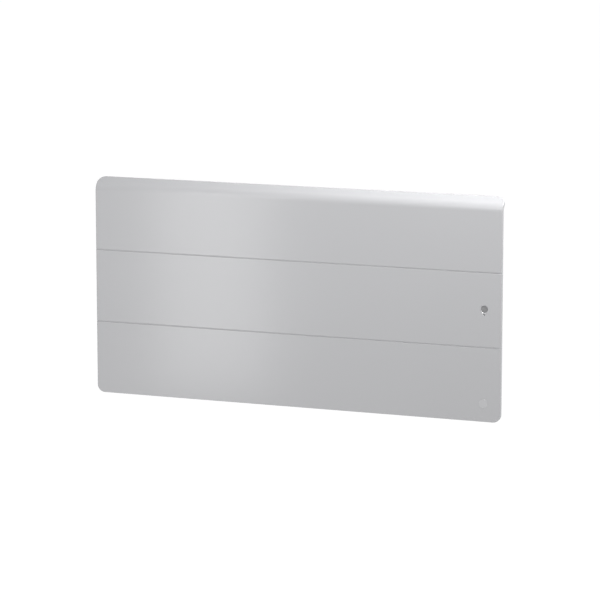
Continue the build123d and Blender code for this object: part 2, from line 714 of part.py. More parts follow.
def make_tact_switches():
    """One small switch under each key, with a square can and a round plunger."""
    low = CONTROL_BOARD_Z[1] + 0.05
    return group(
        block(around(key_x(n), 3), around(KEY_Y, 3), (low, low + 3.5))
        + bar(1.7, (key_x(n), KEY_Y, low + 3.5), (key_x(n), KEY_Y, low + 5.0))
        for n in range(len(KEY_NAMES))
    )


def make_key(n):
    """Key cap that fills a hole in the bezel, with a flange that keeps it in and a stem for its switch."""
    centre = Pos(key_x(n), KEY_Y)
    cap = plan_prism(centre * RectangleRounded(*KEY_SIZE, 2), KEY_CAP_Z)
    cap = fillet(cap.edges().group_by(Axis.Z)[-1], 0.7)
    flange_z = (BEZEL_Z[0] - 1.4, BEZEL_Z[0] - 0.2)
    flange = plan_prism(centre * RectangleRounded(KEY_SIZE[0] + 2.4, KEY_SIZE[1] + 2.4, 3), flange_z)
    plunger_top = CONTROL_BOARD_Z[1] + 5.05
    stem = bar(2.0, (key_x(n), KEY_Y, plunger_top + KEY_TRAVEL + 0.1), (key_x(n), KEY_Y, flange_z[1]))
    return cap + flange + stem


# ---------------------------------------------------------------- presence sensor


def make_sensor_barrel():
    """Housing behind the panel that holds the lens, the light pipe and the sensor board."""
    seat = FRONT_Y + PANEL_T + 0.1
    x, z = SENSOR_X, SENSOR_Z
    barrel = block(around(x, 11.5), (seat, seat + 20), (z - 20, z + 12))
    barrel = fillet(barrel.edges().filter_by(Axis.Y), 4)
    barrel -= bar(6.5, (x, FRONT_Y - 1, z), (x, seat + 13, z))
    barrel -= bar(1.7, (x, FRONT_Y - 1, LIGHT_Z), (x, seat + 13, LIGHT_Z))
    return barrel - block(around(x, 10), (seat + 13, seat + 21), (z - 18.5, z + 10.5))


def make_sensor_lens():
    """Shallow domed lens at the bottom of the bevelled recess, with a flange that rests on the barrel."""
    x, z = SENSOR_X, SENSOR_Z
    rim_y = FRONT_Y + 2.0
    rim_r, dome_r, thickness = SENSOR_R - 0.25, 22.0, 1.0
    centre_y = rim_y + (dome_r**2 - rim_r**2) ** 0.5
    ball = Pos(x, centre_y, z) * (Sphere(dome_r) - Sphere(dome_r - thickness))
    dome = ball & bar(rim_r, (x, rim_y - 6, z), (x, rim_y, z))
    return dome + ring(rim_r, 5.6, (x, rim_y - 0.05, z), (x, rim_y + 0.55, z))


def make_sensor_board():
    """Small board behind the barrel, with the metal sensor can and the status light."""
    y = FRONT_Y + PANEL_T + 0.1 + 13.2
    board = block(around(SENSOR_X, 9.6), (y, y + 1.6), (SENSOR_Z - 18, SENSOR_Z + 10))
    can = bar(4.6, (SENSOR_X, y - 4.2, SENSOR_Z), (SENSOR_X, y, SENSOR_Z))
    can += bar(5.1, (SENSOR_X, y - 0.6, SENSOR_Z), (SENSOR_X, y, SENSOR_Z))
    light = block(around(SENSOR_X, 1.0), (y - 0.9, y), around(LIGHT_Z, 0.6))
    return group([board, can, light])


def make_light_pipe():
    y = (FRONT_Y + 0.5, FRONT_Y + PANEL_T + 0.1 + 12)
    return bar(1.6, (SENSOR_X, y[0], LIGHT_Z), (SENSOR_X, y[1], LIGHT_Z))


# ---------------------------------------------------------------- hanging hardware


def make_pivot_brackets():
    """Riveted saddles on the rear panel whose ears carry the pivot rods outside the wall rails."""
    saddles = []
    for side in SIDES:
        x = side * RAIL_X
        ear_face = ear_outline((PIVOT_Y, PIVOT_Z), 5.5, (BACK_Y, BACK_Y + 1.8), (-226, -212))
        saddle = block(around(x, 24), (BACK_Y, BACK_Y + 1.8), (-226, -208))
        for ear in SIDES:
            saddle += side_prism(ear_face, tuple(sorted((x + ear * 22, x + ear * 24))))
        saddle -= bar(PIVOT_R + 0.05, (x - 30, PIVOT_Y, PIVOT_Z), (x + 30, PIVOT_Y, PIVOT_Z))
        saddles.append(saddle)
    return group(saddles)


def ear_outline(centre, radius, y, z):
    """An ear's outline: a round eye joined to a straight foot."""
    middle_y, middle_z = centre
    low_front = (y[0], middle_z + 12)
    neck = polygon((y[0], z[1]), (y[1], z[1]), (middle_y + radius - 0.6, middle_z + 2), low_front)
    throat = polygon(low_front, (middle_y + 4.9, middle_z + 2.5), (middle_y - 4.9, middle_z - 2.5))
    return Pos(*centre) * Circle(radius) + neck + throat


def make_pivot_rods():
    """Steel rods that drop into the rails' notches, with a head at each end."""
    rods = []
    for side in SIDES:
        x = side * RAIL_X
        rod = bar(PIVOT_R, (x - 26, PIVOT_Y, PIVOT_Z), (x + 26, PIVOT_Y, PIVOT_Z))
        for end in SIDES:
            rod += bar(4.2, (x + end * 24.2, PIVOT_Y, PIVOT_Z), (x + end * 26.2, PIVOT_Y, PIVOT_Z))
        rods.append(rod)
    return group(rods)


def make_clip_studs():
    """Headed studs on the rear panel that snap between the spring clips."""
    studs = []
    for side in SIDES:
        x = side * RAIL_X
        stud = bar(STUD_R, (x, INSIDE_BACK_Y, CLIP_Z), (x, -5.5, CLIP_Z))
        stud += bar(4.0, (x, -8.5, CLIP_Z), (x, -5.5, CLIP_Z))
        stud += bar(6.0, (x, BACK_Y + 0.02, CLIP_Z), (x, BACK_Y + 1.5, CLIP_Z))
        studs.append(stud)
    return group(studs)


def make_bracket_rail(side):
    """Flat wall rail with notched ears at its foot and two wall holes."""
    x = side * RAIL_X
    rail = front_prism(
        Pos(x, sum(RAIL_Z) / 2) * RectangleRounded(RAIL_W, RAIL_Z[1] - RAIL_Z[0], 5), (-RAIL_T, 0)
    )
    ear = polygon(
        (-RAIL_T / 2, -216), (-RAIL_T / 2, -244), (-12.5, -244), (-15, -241), (-15, -226), (-13.4, -222.5),
        (-12.25, -222.5), (-12.25, PIVOT_Z), (-5.75, PIVOT_Z), (-5.75, -222.5), (-4, -216),
    )
    ear -= Pos(PIVOT_Y, PIVOT_Z) * Circle(PIVOT_R + 0.25)
    for ear_side in SIDES:
        rail += side_prism(ear, tuple(sorted((x + ear_side * 16, x + ear_side * 18))))
    for z in around(0, BOLT_DZ / 2):
        rail -= bar(BOLT_R, (x, -RAIL_T - 1, z), (x, 1, z))
    bead = block(around(x, 4), (-RAIL_T - 1.4, -RAIL_T / 2), (-72, 72))
    return rail + fillet(bead.edges().filter_by(Axis.Y), 3.9)


def make_bracket_crossbars():
    half = RAIL_X + 14
    y = (-RAIL_T - 1.5, -RAIL_T)
    bars = []
    for z in CROSSBAR_Z:
        strip = front_prism(Pos(0, z) * RectangleRounded(2 * half, 24, 4), y)
        strip += block((-RAIL_X + 30, RAIL_X - 30), (y[0] - 4, y[1]), (z - 12, z - 10.5))
        strip += block((-RAIL_X + 30, RAIL_X - 30), (y[0] - 4, y[1]), (z + 10.5, z + 12))
        bars.append(strip)
    return group(bars)


def make_bracket_rivets():
    """Dome heads that join the crossbars to the rails."""
    top = -RAIL_T - 1.5
    heads = []
    for side in SIDES:
        for z in CROSSBAR_Z:
            for dx in (-7, 7):
                x = side * RAIL_X + dx
                head = bar(3.2, (x, top - 1.6, z), (x, top, z))
                heads.append(fillet(head.edges().sort_by(Axis.Y)[0], 1.2))
    return group(heads)


def make_spring_clips():
    """Open-fronted steel springs on the rails, shown spread just clear of the studs' heads."""
    clips = []
    y = -RAIL_T
    outer = ((9.0, 0), (9.0, 1), (6.0, 1), (6.0, 5), (5.35, 8.5), (6.4, 11.5), (8.2, 13.2))
    inner = ((7.4, 13.9), (5.5, 12), (4.35, 8.5), (5.0, 5), (5.0, 1), (0, 1), (0, 0))
    arm = polygon(*((x, y - forward) for x, forward in outer + inner))
    half = plan_prism(arm, around(CLIP_Z, 8))
    clip = half + mirrored(half)
    for side in SIDES:
        clips.append(Pos(side * RAIL_X, 0, 0) * clip)
    return group(clips)


def make_rest_pads():
    """Rubber blocks that the rear panel's top leans on."""
    pads = []
    for side in SIDES:
        pad = block(around(side * RAIL_X, 9), (BACK_Y + 0.3, -RAIL_T), around(PAD_Z, 6))
        pads.append(fillet(pad.edges().group_by(Axis.Y)[0], 1.5))
    return group(pads)


# ---------------------------------------------------------------- every node


def all_nodes():
    cheek = make_cheek()
    nodes = {
        "front_panel": make_front_panel(),
        "badge_disc": make_badge_disc(),
        "panel_rails": make_panel_rails(),
        "radiant_film": make_radiant_film(),
        "insulation_mat": make_insulation_mat(),
        "cheek_right": cheek,
        "cheek_left": mirrored(cheek),
        "rear_panel": make_rear_panel(),
        "rear_screws": make_rear_screws(),
        "bottom_tray": make_bottom_tray(),
        "outlet_grille": make_outlet_grille(),
        "upright_left": make_upright(UPRIGHT_X[0]),
        "upright_right": make_upright(UPRIGHT_X[1]),
        "panel_screws": make_panel_screws(),
        "heat_shield": make_heat_shield(),
        "shield_spacers": make_shield_spacers(),
        "air_deflector": make_air_deflector(),
        "heating_body": make_heating_body(),
        "element_rod": make_element_rod(),
        "element_insulators": make_element_insulators(),
        "element_brackets": make_element_brackets(),
        "thermal_cutout": make_thermal_cutout(),
        "room_sensor": make_room_sensor(),
        "power_tray": make_power_tray(),
        "power_cover": make_power_cover(),
        "power_board": make_power_board(),
        "board_parts": make_board_parts(),
        "heatsink": make_heatsink(),
        "terminal_block": make_terminal_block(),
        "element_leads": make_element_leads(),
        "ribbon_cable": make_ribbon_cable(),
        "earth_lead": make_earth_lead(),
        "cable_gland": make_cable_gland(),
        "gland_nut": make_gland_nut(),
        "rocker_body": make_rocker_body(),
        "rocker_button": make_rocker_button(),
        "pod_housing": make_pod_housing(),
        "pod_bezel": make_pod_bezel(),
        "display_window": make_display_window(),
        "lcd_module": make_lcd_module(),
        "control_board": make_control_board(),
        "tact_switches": make_tact_switches(),
        "sensor_barrel": make_sensor_barrel(),
        "sensor_lens": make_sensor_lens(),
        "sensor_board": make_sensor_board(),
        "light_pipe": make_light_pipe(),
        "pivot_brackets": make_pivot_brackets(),
        "pivot_rods": make_pivot_rods(),
        "clip_studs": make_clip_studs(),
        "bracket_rail_left": make_bracket_rail(-1),
        "bracket_rail_right": make_bracket_rail(1),
        "bracket_crossbars": make_bracket_crossbars(),
        "bracket_rivets": make_bracket_rivets(),
        "spring_clips": make_spring_clips(),
        "rest_pads": make_rest_pads(),
    }
    for n, name in enumerate(KEY_NAMES):
        nodes[name] = make_key(n)
    return nodes


os.makedirs("parts", exist_ok=True)
for node_name, shape in all_nodes().items():
    export_step(shape, f"parts/{node_name}.step")
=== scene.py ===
"""Looks of the wall panel heater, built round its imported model. Metres, in the model's own frame."""

import json
import math

import bmesh
import bpy
from mathutils import Matrix, Vector


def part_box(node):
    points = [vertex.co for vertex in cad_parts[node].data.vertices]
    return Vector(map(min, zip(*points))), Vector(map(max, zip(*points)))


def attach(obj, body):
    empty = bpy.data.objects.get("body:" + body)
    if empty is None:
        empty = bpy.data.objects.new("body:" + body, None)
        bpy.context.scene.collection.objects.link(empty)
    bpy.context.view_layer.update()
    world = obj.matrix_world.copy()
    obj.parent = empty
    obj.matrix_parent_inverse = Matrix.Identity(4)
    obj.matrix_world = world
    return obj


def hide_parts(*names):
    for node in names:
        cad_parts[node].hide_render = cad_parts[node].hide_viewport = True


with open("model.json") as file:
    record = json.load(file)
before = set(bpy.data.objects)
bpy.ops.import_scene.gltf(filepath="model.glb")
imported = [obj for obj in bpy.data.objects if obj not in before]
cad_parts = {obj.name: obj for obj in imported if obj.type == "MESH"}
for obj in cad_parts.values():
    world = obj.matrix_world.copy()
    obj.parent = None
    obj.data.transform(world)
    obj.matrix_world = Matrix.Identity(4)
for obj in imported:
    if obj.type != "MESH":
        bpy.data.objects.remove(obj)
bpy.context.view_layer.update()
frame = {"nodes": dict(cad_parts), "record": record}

MM = 0.001
NODES = frame["nodes"]
SLOT_OF = {part["node"]: part["material_slot"] for part in frame["record"]["subparts"]}
BODIES = frame["record"]["behaviour"]["bodies"]
WELD = 0.001 * MM  # vertices nearer than this are one vertex

# ---------------------------------------------------------------- camera, floor and lights

FLOOR_Z = -1.0


def make_camera():
    """A long lens to the right of the panel and a little above it."""
    azimuth, elevation, distance = math.radians(21.0), math.radians(9.82), 6.752
    target = Vector((0.0148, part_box("front_panel")[0][1], 0.0016))
    back = Vector((
        math.sin(azimuth) * math.cos(elevation),
        -math.cos(azimuth) * math.cos(elevation),
        math.sin(elevation),
    ))
    data = bpy.data.cameras.new("camera")
    data.sensor_width = 36.0
    data.lens = 180.5
    camera = bpy.data.objects.new("camera", data)
    camera.location = target + distance * back
    camera.rotation_mode = "QUATERNION"
    camera.rotation_quaternion = (-back).to_track_quat("-Z", "Y")
    bpy.context.collection.objects.link(camera)
    bpy.context.scene.camera = camera


def make_floor():
    """A wide pale floor, far enough down that the hung heater throws no shadow into the picture."""
    half = 40.0
    corners = [(-half, -half, FLOOR_Z), (half, -half, FLOOR_Z), (half, half, FLOOR_Z), (-half, half, FLOOR_Z)]
    mesh = bpy.data.meshes.new("floor")
    mesh.from_pydata(corners, [], [(0, 1, 2, 3)])
    floor = bpy.data.objects.new("floor", mesh)
    bpy.context.collection.objects.link(floor)
    material, shader = new_material("floor_white", Roughness=0.9)
    shader.inputs["Base Color"].default_value = (0.2, 0.2, 0.2, 1)
    shader.inputs["Emission Color"].default_value = (1, 1, 1, 1)
    shader.inputs["Emission Strength"].default_value = 0.94
    mesh.materials.append(material)


def make_softbox(name, place, target, size, power):
    data = bpy.data.lights.new(name, "AREA")
    data.shape = "RECTANGLE"
    data.size, data.size_y = size
    data.energy = power
    lamp = bpy.data.objects.new(name, data)
    lamp.location = place
    lamp.visible_camera = False
    lamp.rotation_mode = "QUATERNION"
    lamp.rotation_quaternion = (Vector(target) - Vector(place)).to_track_quat("-Z", "Y")
    bpy.context.collection.objects.link(lamp)


def make_lights():
    """A sky that is white at the horizon and dimmer above, softboxes overhead and a strip at either side."""
    world = bpy.data.worlds.new("studio")
    world.use_nodes = True
    sky = Pattern(world, "Generated")
    height = sky.add("ShaderNodeSeparateXYZ", {"Vector": sky.place}).outputs["Z"]
    shade = sky.ramp(height, (0.0, 1.0), (0.12, 0.3))
    sky.link(shade, world.node_tree.nodes["Background"].inputs["Color"])
    bpy.context.scene.world = world
    bpy.context.scene.view_settings.view_transform = "Standard"
    make_softbox("strip_left", (-0.66, -1.21, 0.2), (-0.2, -0.1, 0.0), (0.3, 1.4), 4.2)
    make_softbox("overhead_front", (0.35, -1.25, 0.85), (0.3, -0.1, 0.2), (0.8, 0.45), 2.5)
    make_softbox("overhead_middle", (0.75, -0.75, 1.25), (0.4, -0.1, 0.2), (0.7, 0.5), 4.4)
    make_softbox("overhead_right", (0.75, -0.15, 1.45), (0.4, -0.1, 0.2), (0.7, 0.6), 27.5)
    make_softbox("strip_right", (1.45, -0.45, 1.15), (0.45, -0.11, 0.0), (0.12, 1.3), 6.0)


# ---------------------------------------------------------------- material building blocks


def new_material(name, **sockets):
    """A material and its shader; sockets are numbers by socket name, with _ for a space."""
    material = bpy.data.materials.new(name)
    material.use_nodes = True
    shader = material.node_tree.nodes["Principled BSDF"]
    for socket, value in sockets.items():
        shader.inputs[socket.replace("_", " ")].default_value = value
    return material, shader


class Pattern:
    """Shorthand for the procedural nodes of a material, in the object's own coordinates, or of the sky."""

    def __init__(self, material, coordinates="Object"):
        self.tree = material.node_tree
        self.place = self.add("ShaderNodeTexCoord", {}).outputs[coordinates]

    def add(self, kind, inputs, **settings):
        node = self.tree.nodes.new(kind)
        for key, value in settings.items():
            setattr(node, key, value)
        for key, value in inputs.items():
            if isinstance(value, bpy.types.NodeSocket):
                self.tree.links.new(value, node.inputs[key])
            else:
                node.inputs[key].default_value = value
        return node

    def stretched(self, factors):
        return self.add("ShaderNodeMapping", {"Vector": self.place, "Scale": factors}).outputs["Vector"]

    def noise(self, scale, detail=3.0, stretch=(1, 1, 1)):
        inputs = {"Vector": self.stretched(stretch), "Scale": scale, "Detail": detail}
        return self.add("ShaderNodeTexNoise", inputs).outputs["Fac"]

    def cells(self, scale, stretch=(1, 1, 1)):
        inputs = {"Vector": self.stretched(stretch), "Scale": scale}
        return self.add("ShaderNodeTexVoronoi", inputs).outputs["Distance"]

    def bands(self, scale, direction="X", distortion=0.0):
        inputs = {"Vector": self.place, "Scale": scale, "Distortion": distortion}
        return self.add("ShaderNodeTexWave", inputs, bands_direction=direction).outputs["Fac"]

    def ramp(self, factor, *stops):
        """A colour ramp whose stops are (place, colour or grey)."""
        node = self.add("ShaderNodeValToRGB", {"Fac": factor})
        elements = node.color_ramp.elements
        while len(elements) < len(stops):
            elements.new(0.5)
        for element, (place, colour) in zip(elements, stops):
            element.position = place
            element.color = (*colour, 1) if isinstance(colour, tuple) else (colour, colour, colour, 1)
        return node.outputs["Color"]

    def bump(self, height, distance, normal=None):
        inputs = {"Height": height, "Distance": distance}
        if normal:
            inputs["Normal"] = normal
        return self.add("ShaderNodeBump", inputs).outputs["Normal"]

    def link(self, output, socket):
        self.tree.links.new(output, socket)


def tinted(colour, factor):
    return tuple(min(1.0, c * factor) for c in colour)


def make_powder_coat(name, colour, rough, peel=0.03 * MM):
    """Stoved powder paint: faint clouding, fine orange peel and a little grain."""
    material, shader = new_material(name)
    p = Pattern(material)
    cloud = p.ramp(p.noise(5.0), (0.3, tinted(colour, 0.996)), (0.7, tinted(colour, 1.004)))
    p.link(cloud, shader.inputs["Base Color"])
    p.link(p.ramp(p.noise(300.0), (0.3, rough - 0.015), (0.7, rough + 0.015)), shader.inputs["Roughness"])
    coarse = p.bump(p.noise(500.0, detail=1.0), peel)
    p.link(p.bump(p.noise(2600.0, detail=2.0), 0.25 * peel, coarse), shader.inputs["Normal"])
    return material


def make_moulded(name, colour, rough, grain=0.05 * MM, scale=1400.0):
    """Moulded plastic or rubber with a spark-eroded grain and slightly uneven colour."""
    material, shader = new_material(name)
    p = Pattern(material)
    cloud = p.ramp(p.noise(50.0), (0.3, tinted(colour, 0.94)), (0.7, tinted(colour, 1.06)))
    fine = p.noise(scale, detail=2.0)
    p.link(cloud, shader.inputs["Base Color"])
    p.link(p.ramp(fine, (0.3, rough - 0.06), (0.7, rough + 0.06)), shader.inputs["Roughness"])
    p.link(p.bump(fine, grain), shader.inputs["Normal"])
    return material


def make_plated_steel(name, colour, rough):
    """Zinc-plated sheet: soft mottling, warm and cool patches, and long fine scratches."""
    material, shader = new_material(name, Metallic=1.0)
    p = Pattern(material)
    warm = (colour[0] * 1.05, colour[1] * 1.02, colour[2] * 0.93)
    mottle = p.ramp(p.noise(45.0, detail=5.0), (0.25, tinted(colour, 0.82)), (0.5, colour), (0.8, warm))
    p.link(mottle, shader.inputs["Base Color"])
    scratches = p.noise(60.0, detail=4.0, stretch=(1, 14, 30))
    p.link(p.ramp(scratches, (0.3, rough - 0.08), (0.75, rough + 0.14)), shader.inputs["Roughness"])
    p.link(p.bump(scratches, 0.04 * MM), shader.inputs["Normal"])
    return material


def make_rolled_aluminium(name, colour, rough):
    """Mill-finish sheet and extrusion with drawing lines along X."""
    material, shader = new_material(name, Metallic=1.0)
    p = Pattern(material)
    lines = p.noise(90.0, detail=4.0, stretch=(0.4, 12, 12))
    p.link(p.ramp(p.noise(14.0), (0.3, tinted(colour, 0.9)), (0.7, colour)), shader.inputs["Base Color"])
    p.link(p.ramp(lines, (0.3, rough - 0.05), (0.7, rough + 0.12)), shader.inputs["Roughness"])
    p.link(p.bump(lines, 0.03 * MM), shader.inputs["Normal"])
    return material


def make_heat_tinted(name):
    """Heating rod: drawn tube with straw and blue heat colours in patches along it."""
    material, shader = new_material(name, Metallic=1.0, Roughness=0.38)
    p = Pattern(material)
    tints = ((0.2, (0.34, 0.31, 0.28)), (0.5, (0.42, 0.33, 0.2)), (0.75, (0.2, 0.22, 0.32)))
    p.link(p.ramp(p.noise(16.0, stretch=(1, 0.2, 0.2)), *tints), shader.inputs["Base Color"])
    p.link(p.bump(p.noise(900.0), 0.02 * MM), shader.inputs["Normal"])
    return material


def make_speckled(name, colour, speck, rough, scale):
    """Fired ceramic or pressed board: pale ground with sparse darker specks."""
    material, shader = new_material(name, Roughness=rough)
    p = Pattern(material)
    p.link(p.ramp(p.noise(scale, detail=2.0), (0.3, speck), (0.42, colour)), shader.inputs["Base Color"])
    p.link(p.bump(p.noise(scale * 1.5), 0.04 * MM), shader.inputs["Normal"])
    return material


def make_felt(name, colour):
    """Pressed mineral fibre: short crossing fibres and a dull sheen."""
    material, shader = new_material(name, Roughness=0.95, Sheen_Weight=0.4)
    p = Pattern(material)
    fibres = p.noise(700.0, detail=6.0, stretch=(1, 1, 0.25))
    p.link(p.ramp(fibres, (0.3, tinted(colour, 0.75)), (0.7, colour)), shader.inputs["Base Color"])
    p.link(p.bump(fibres, 0.4 * MM), shader.inputs["Normal"])
    return material


def make_film(name):
    """Laminated heating film: dark resistive stripes with paler gaps."""
    material, shader = new_material(name, Roughness=0.3)
    p = Pattern(material)
    stripes = p.ramp(p.bands(28.0, "Z"), (0.45, (0.03, 0.028, 0.026)), (0.55, (0.22, 0.17, 0.1)))
    p.link(stripes, shader.inputs["Base Color"])
    p.link(p.bump(p.noise(120.0), 0.1 * MM), shader.inputs["Normal"])
    return material


def make_circuit_board(name):
    """Solder mask over copper: tracks show as lighter cells with dark borders."""
    material, shader = new_material(name, Roughness=0.32, Coat_Weight=0.3)
    p = Pattern(material)
    tracks = p.ramp(p.cells(260.0), (0.1, (0.03, 0.16, 0.07)), (0.3, (0.015, 0.09, 0.04)))
    p.link(tracks, shader.inputs["Base Color"])
    p.link(p.bump(p.cells(260.0), 0.05 * MM), shader.inputs["Normal"])
    return material


def make_lead(name, main, second, scale):
    """Sleeved lead with a second colour in bands."""
    material, shader = new_material(name, Roughness=0.5)
    p = Pattern(material)
    p.link(p.ramp(p.bands(scale, "DIAGONAL"), (0.6, main), (0.7, second)), shader.inputs["Base Color"])
    p.link(p.bump(p.noise(1500.0), 0.03 * MM), shader.inputs["Normal"])
    return material


def make_clear(name, colour, rough, transmission):
    """Clear or smoky moulding with faint surface ripple."""
    material, shader = new_material(name, Roughness=rough, IOR=1.49, Transmission_Weight=transmission)
    p = Pattern(material)
    p.link(p.ramp(p.noise(80.0), (0.3, tinted(colour, 0.96)), (0.7, colour)), shader.inputs["Base Color"])
    p.link(p.bump(p.noise(220.0), 0.02 * MM), shader.inputs["Normal"])
    return material


def make_materials():
    """One material for each material slot of the record."""
    return {
        "panel_paint": make_powder_coat("panel_paint", (0.418, 0.419, 0.43), 0.2),
        "badge": make_powder_coat("badge", (0.45, 0.451, 0.462), 0.17),
        "case_paint": make_powder_coat("case_paint", (0.2, 0.2, 0.205), 0.5, 0.05 * MM),
        "cheek_plastic": make_moulded("cheek_plastic", (0.26, 0.26, 0.265), 0.5),
        "grille_plastic": make_moulded("grille_plastic", (0.16, 0.16, 0.163), 0.45),
        "pod_plastic": make_moulded("pod_plastic", (0.09, 0.09, 0.093), 0.4),
        "box_plastic": make_moulded("box_plastic", (0.6, 0.58, 0.52), 0.5),
        "terminal_plastic": make_moulded("terminal_plastic", (0.05, 0.2, 0.1), 0.4),
        "black_plastic": make_moulded("black_plastic", (0.02, 0.02, 0.021), 0.42),
        "component_black": make_moulded("component_black", (0.03, 0.03, 0.03), 0.35),
        "key_rubber": make_moulded("key_rubber", (0.2, 0.2, 0.203), 0.62, 0.02 * MM),
        "pad_rubber": make_moulded("pad_rubber", (0.02, 0.02, 0.02), 0.75, 0.08 * MM, 900.0),
        "zinc_steel": make_plated_steel("zinc_steel", (0.62, 0.63, 0.65), 0.34),
        "screw_steel": make_plated_steel("screw_steel", (0.5, 0.5, 0.52), 0.28),
        "spring_steel": make_plated_steel("spring_steel", (0.36, 0.36, 0.38), 0.25),
        "bright_aluminium": make_rolled_aluminium("bright_aluminium", (0.8, 0.8, 0.81), 0.3),
        "rod_steel": make_heat_tinted("rod_steel"),
        "ceramic": make_speckled("ceramic", (0.78, 0.74, 0.66), (0.5, 0.44, 0.36), 0.6, 1800.0),
        "film": make_film("film"),
        "mat": make_felt("mat", (0.66, 0.64, 0.58)),
        "board_green": make_circuit_board("board_green"),
        "wire_silicone": make_lead("wire_silicone", (0.4, 0.05, 0.04), (0.3, 0.035, 0.03), 60.0),
        "earth_wire": make_lead("earth_wire", (0.12, 0.36, 0.05), (0.75, 0.62, 0.05), 45.0),
        "ribbon": make_lead("ribbon", (0.36, 0.36, 0.38), (0.28, 0.28, 0.3), 250.0),
        "display_glass": make_clear("display_glass", (0.93, 0.95, 0.96), 0.03, 0.95),
        "light_pipe": make_clear("light_pipe", (0.3, 0.3, 0.32), 0.15, 0.5),
        "sensor_lens": make_clear("sensor_lens", (0.25, 0.25, 0.255), 0.3, 0.1),
        "display_module": make_speckled(
            "display_module", (0.16, 0.19, 0.15), (0.13, 0.16, 0.12), 0.25, 3000.0
        ),
    }


# ---------------------------------------------------------------- mesh building blocks


def add_piece(name, mesh, node, smooth_angle=35.0):
    """Links a mesh made to stand in for a CAD node, with the material of that node's slot."""
    bm = bmesh.new()
    bm.from_mesh(mesh)
    bmesh.ops.recalc_face_normals(bm, faces=bm.faces)
    bm.to_mesh(mesh)
    bm.free()
    mesh.polygons.foreach_set("use_smooth", [True] * len(mesh.polygons))
    mesh.set_sharp_from_angle(angle=math.radians(smooth_angle))
    mesh.materials.clear()
    mesh.materials.append(MATERIALS[SLOT_OF[node]])
    piece = bpy.data.objects.new(name, mesh)
    bpy.context.collection.objects.link(piece)
    return piece


def stand_for(piece, node):
    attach(piece, body_of(node))
    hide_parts(node)


def body_of(node):
    return next(body for body, nodes in BODIES.items() if node in nodes)


def bridge(bm, rings):
    """Quads between rings that have the same number of vertices."""
    for ring, other in zip(rings, rings[1:]):
        count = len(ring)
        for n in range(count):
            following = (n + 1) % count
            bm.faces.new([ring[n], ring[following], other[following], other[n]])


def mesh_from(bm, name):
    mesh = bpy.data.meshes.new(name)
    bm.to_mesh(mesh)
    bm.free()
    return mesh


def turns(steps):
    return [2 * math.pi * step / steps for step in range(steps)]


def lathe(bm, profile, centre=(0, 0, 0), axis=(0, 0, 1), steps=48):
    """Revolves (radius, travel) points about an axis; a radius of 0 at either end closes it to a tip."""
    axis = Vector(axis).normalized()
    across = axis.orthogonal().normalized()
    over = axis.cross(across)
    rings = []
    for radius, travel in profile:
        middle = Vector(centre) + travel * axis
        if radius == 0:
            rings.append([bm.verts.new(middle)])
        else:
            spokes = [math.cos(t) * across + math.sin(t) * over for t in turns(steps)]
            rings.append([bm.verts.new(middle + radius * spoke) for spoke in spokes])
    for ring, other in zip(rings, rings[1:]):
        if len(ring) == len(other):
            bridge(bm, [ring, other])
        else:
            tip, circle = sorted((ring, other), key=len)
            for n in range(steps):
                bm.faces.new([tip[0], circle[n], circle[(n + 1) % steps]])


def rounded_rectangle(centre, half, radius, steps=6):
    """Points of a rounded rectangle, anticlockwise from its right-hand side."""
    signs = ((1, 1), (-1, 1), (-1, -1), (1, -1))
    for quarter, (sign_x, sign_y) in enumerate(signs):
        for step in range(steps + 1):
            turn = math.radians(90 * (quarter + step / steps))
            x = centre[0] + sign_x * (half[0] - radius) + radius * math.cos(turn)
            y = centre[1] + sign_y * (half[1] - radius) + radius * math.sin(turn)
            yield Vector((x, y))


def stack(bm, sections, centre=(0, 0), turn=0.0):
    """Joins rounded rectangles (half, radius, z) into one closed skin, turned about its centre."""
    rings = []
    swing = Matrix.Rotation(turn, 2)
    for half, radius, z in sections:
        points = [Vector(centre) + swing @ p for p in rounded_rectangle((0, 0), half, radius)]
        rings.append([bm.verts.new((*p, z)) for p in points])
    bridge(bm, rings)
    bm.faces.new(rings[0])
    bm.faces.new(rings[-1])


def middle_of(node):
    low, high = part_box(node)
    return (Vector(low) + Vector(high)) / 2


def islands(node):
    """(low, high) corners of each separate solid of a CAD node."""
    bm = bmesh.new()
    bm.from_mesh(NODES[node].data)
    bmesh.ops.remove_doubles(bm, verts=bm.verts, dist=WELD)
    waiting = set(bm.verts)
    boxes = []
    while waiting:
        reached, edge_of_search = set(), [min(waiting, key=lambda v: v.index)]
        while edge_of_search:
            vert = edge_of_search.pop()
            if vert not in reached:
                reached.add(vert)
                edge_of_search += [edge.other_vert(vert) for edge in vert.link_edges]
        waiting -= reached
        boxes.append([Vector([pick(v.co[k] for v in reached) for k in range(3)]) for pick in (min, max)])
    bm.free()
    return boxes


def apply_modifier(piece, kind, **settings):
    """Changes the piece's mesh to what one modifier makes of it."""
    modifier = piece.modifiers.new("step", kind)
    for key, value in settings.items():
        setattr(modifier, key, value)
    mesh = bpy.data.meshes.new_from_object(piece.evaluated_get(bpy.context.evaluated_depsgraph_get()))
    piece.modifiers.clear()
    piece.data = mesh


def soften(node, width, segments=2):
    """Replaces a CAD node by a copy whose sharp edges are rounded and whose flat faces shade flat."""
    bm = bmesh.new()
    bm.from_mesh(NODES[node].data)
    bmesh.ops.remove_doubles(bm, verts=bm.verts, dist=WELD)
    bmesh.ops.dissolve_limit(bm, angle_limit=math.radians(0.5), verts=bm.verts, edges=bm.edges)
    piece = add_piece(node + "_soft", mesh_from(bm, node + "_soft"), node, smooth_angle=180.0)
    rounding = {"width": width * MM, "segments": segments, "profile": 0.6, "harden_normals": True}
    apply_modifier(piece, "BEVEL", limit_method="ANGLE", angle_limit=math.radians(32), **rounding)
    apply_modifier(piece, "WEIGHTED_NORMAL", weight=100)
    stand_for(piece, node)


# ---------------------------------------------------------------- front panel


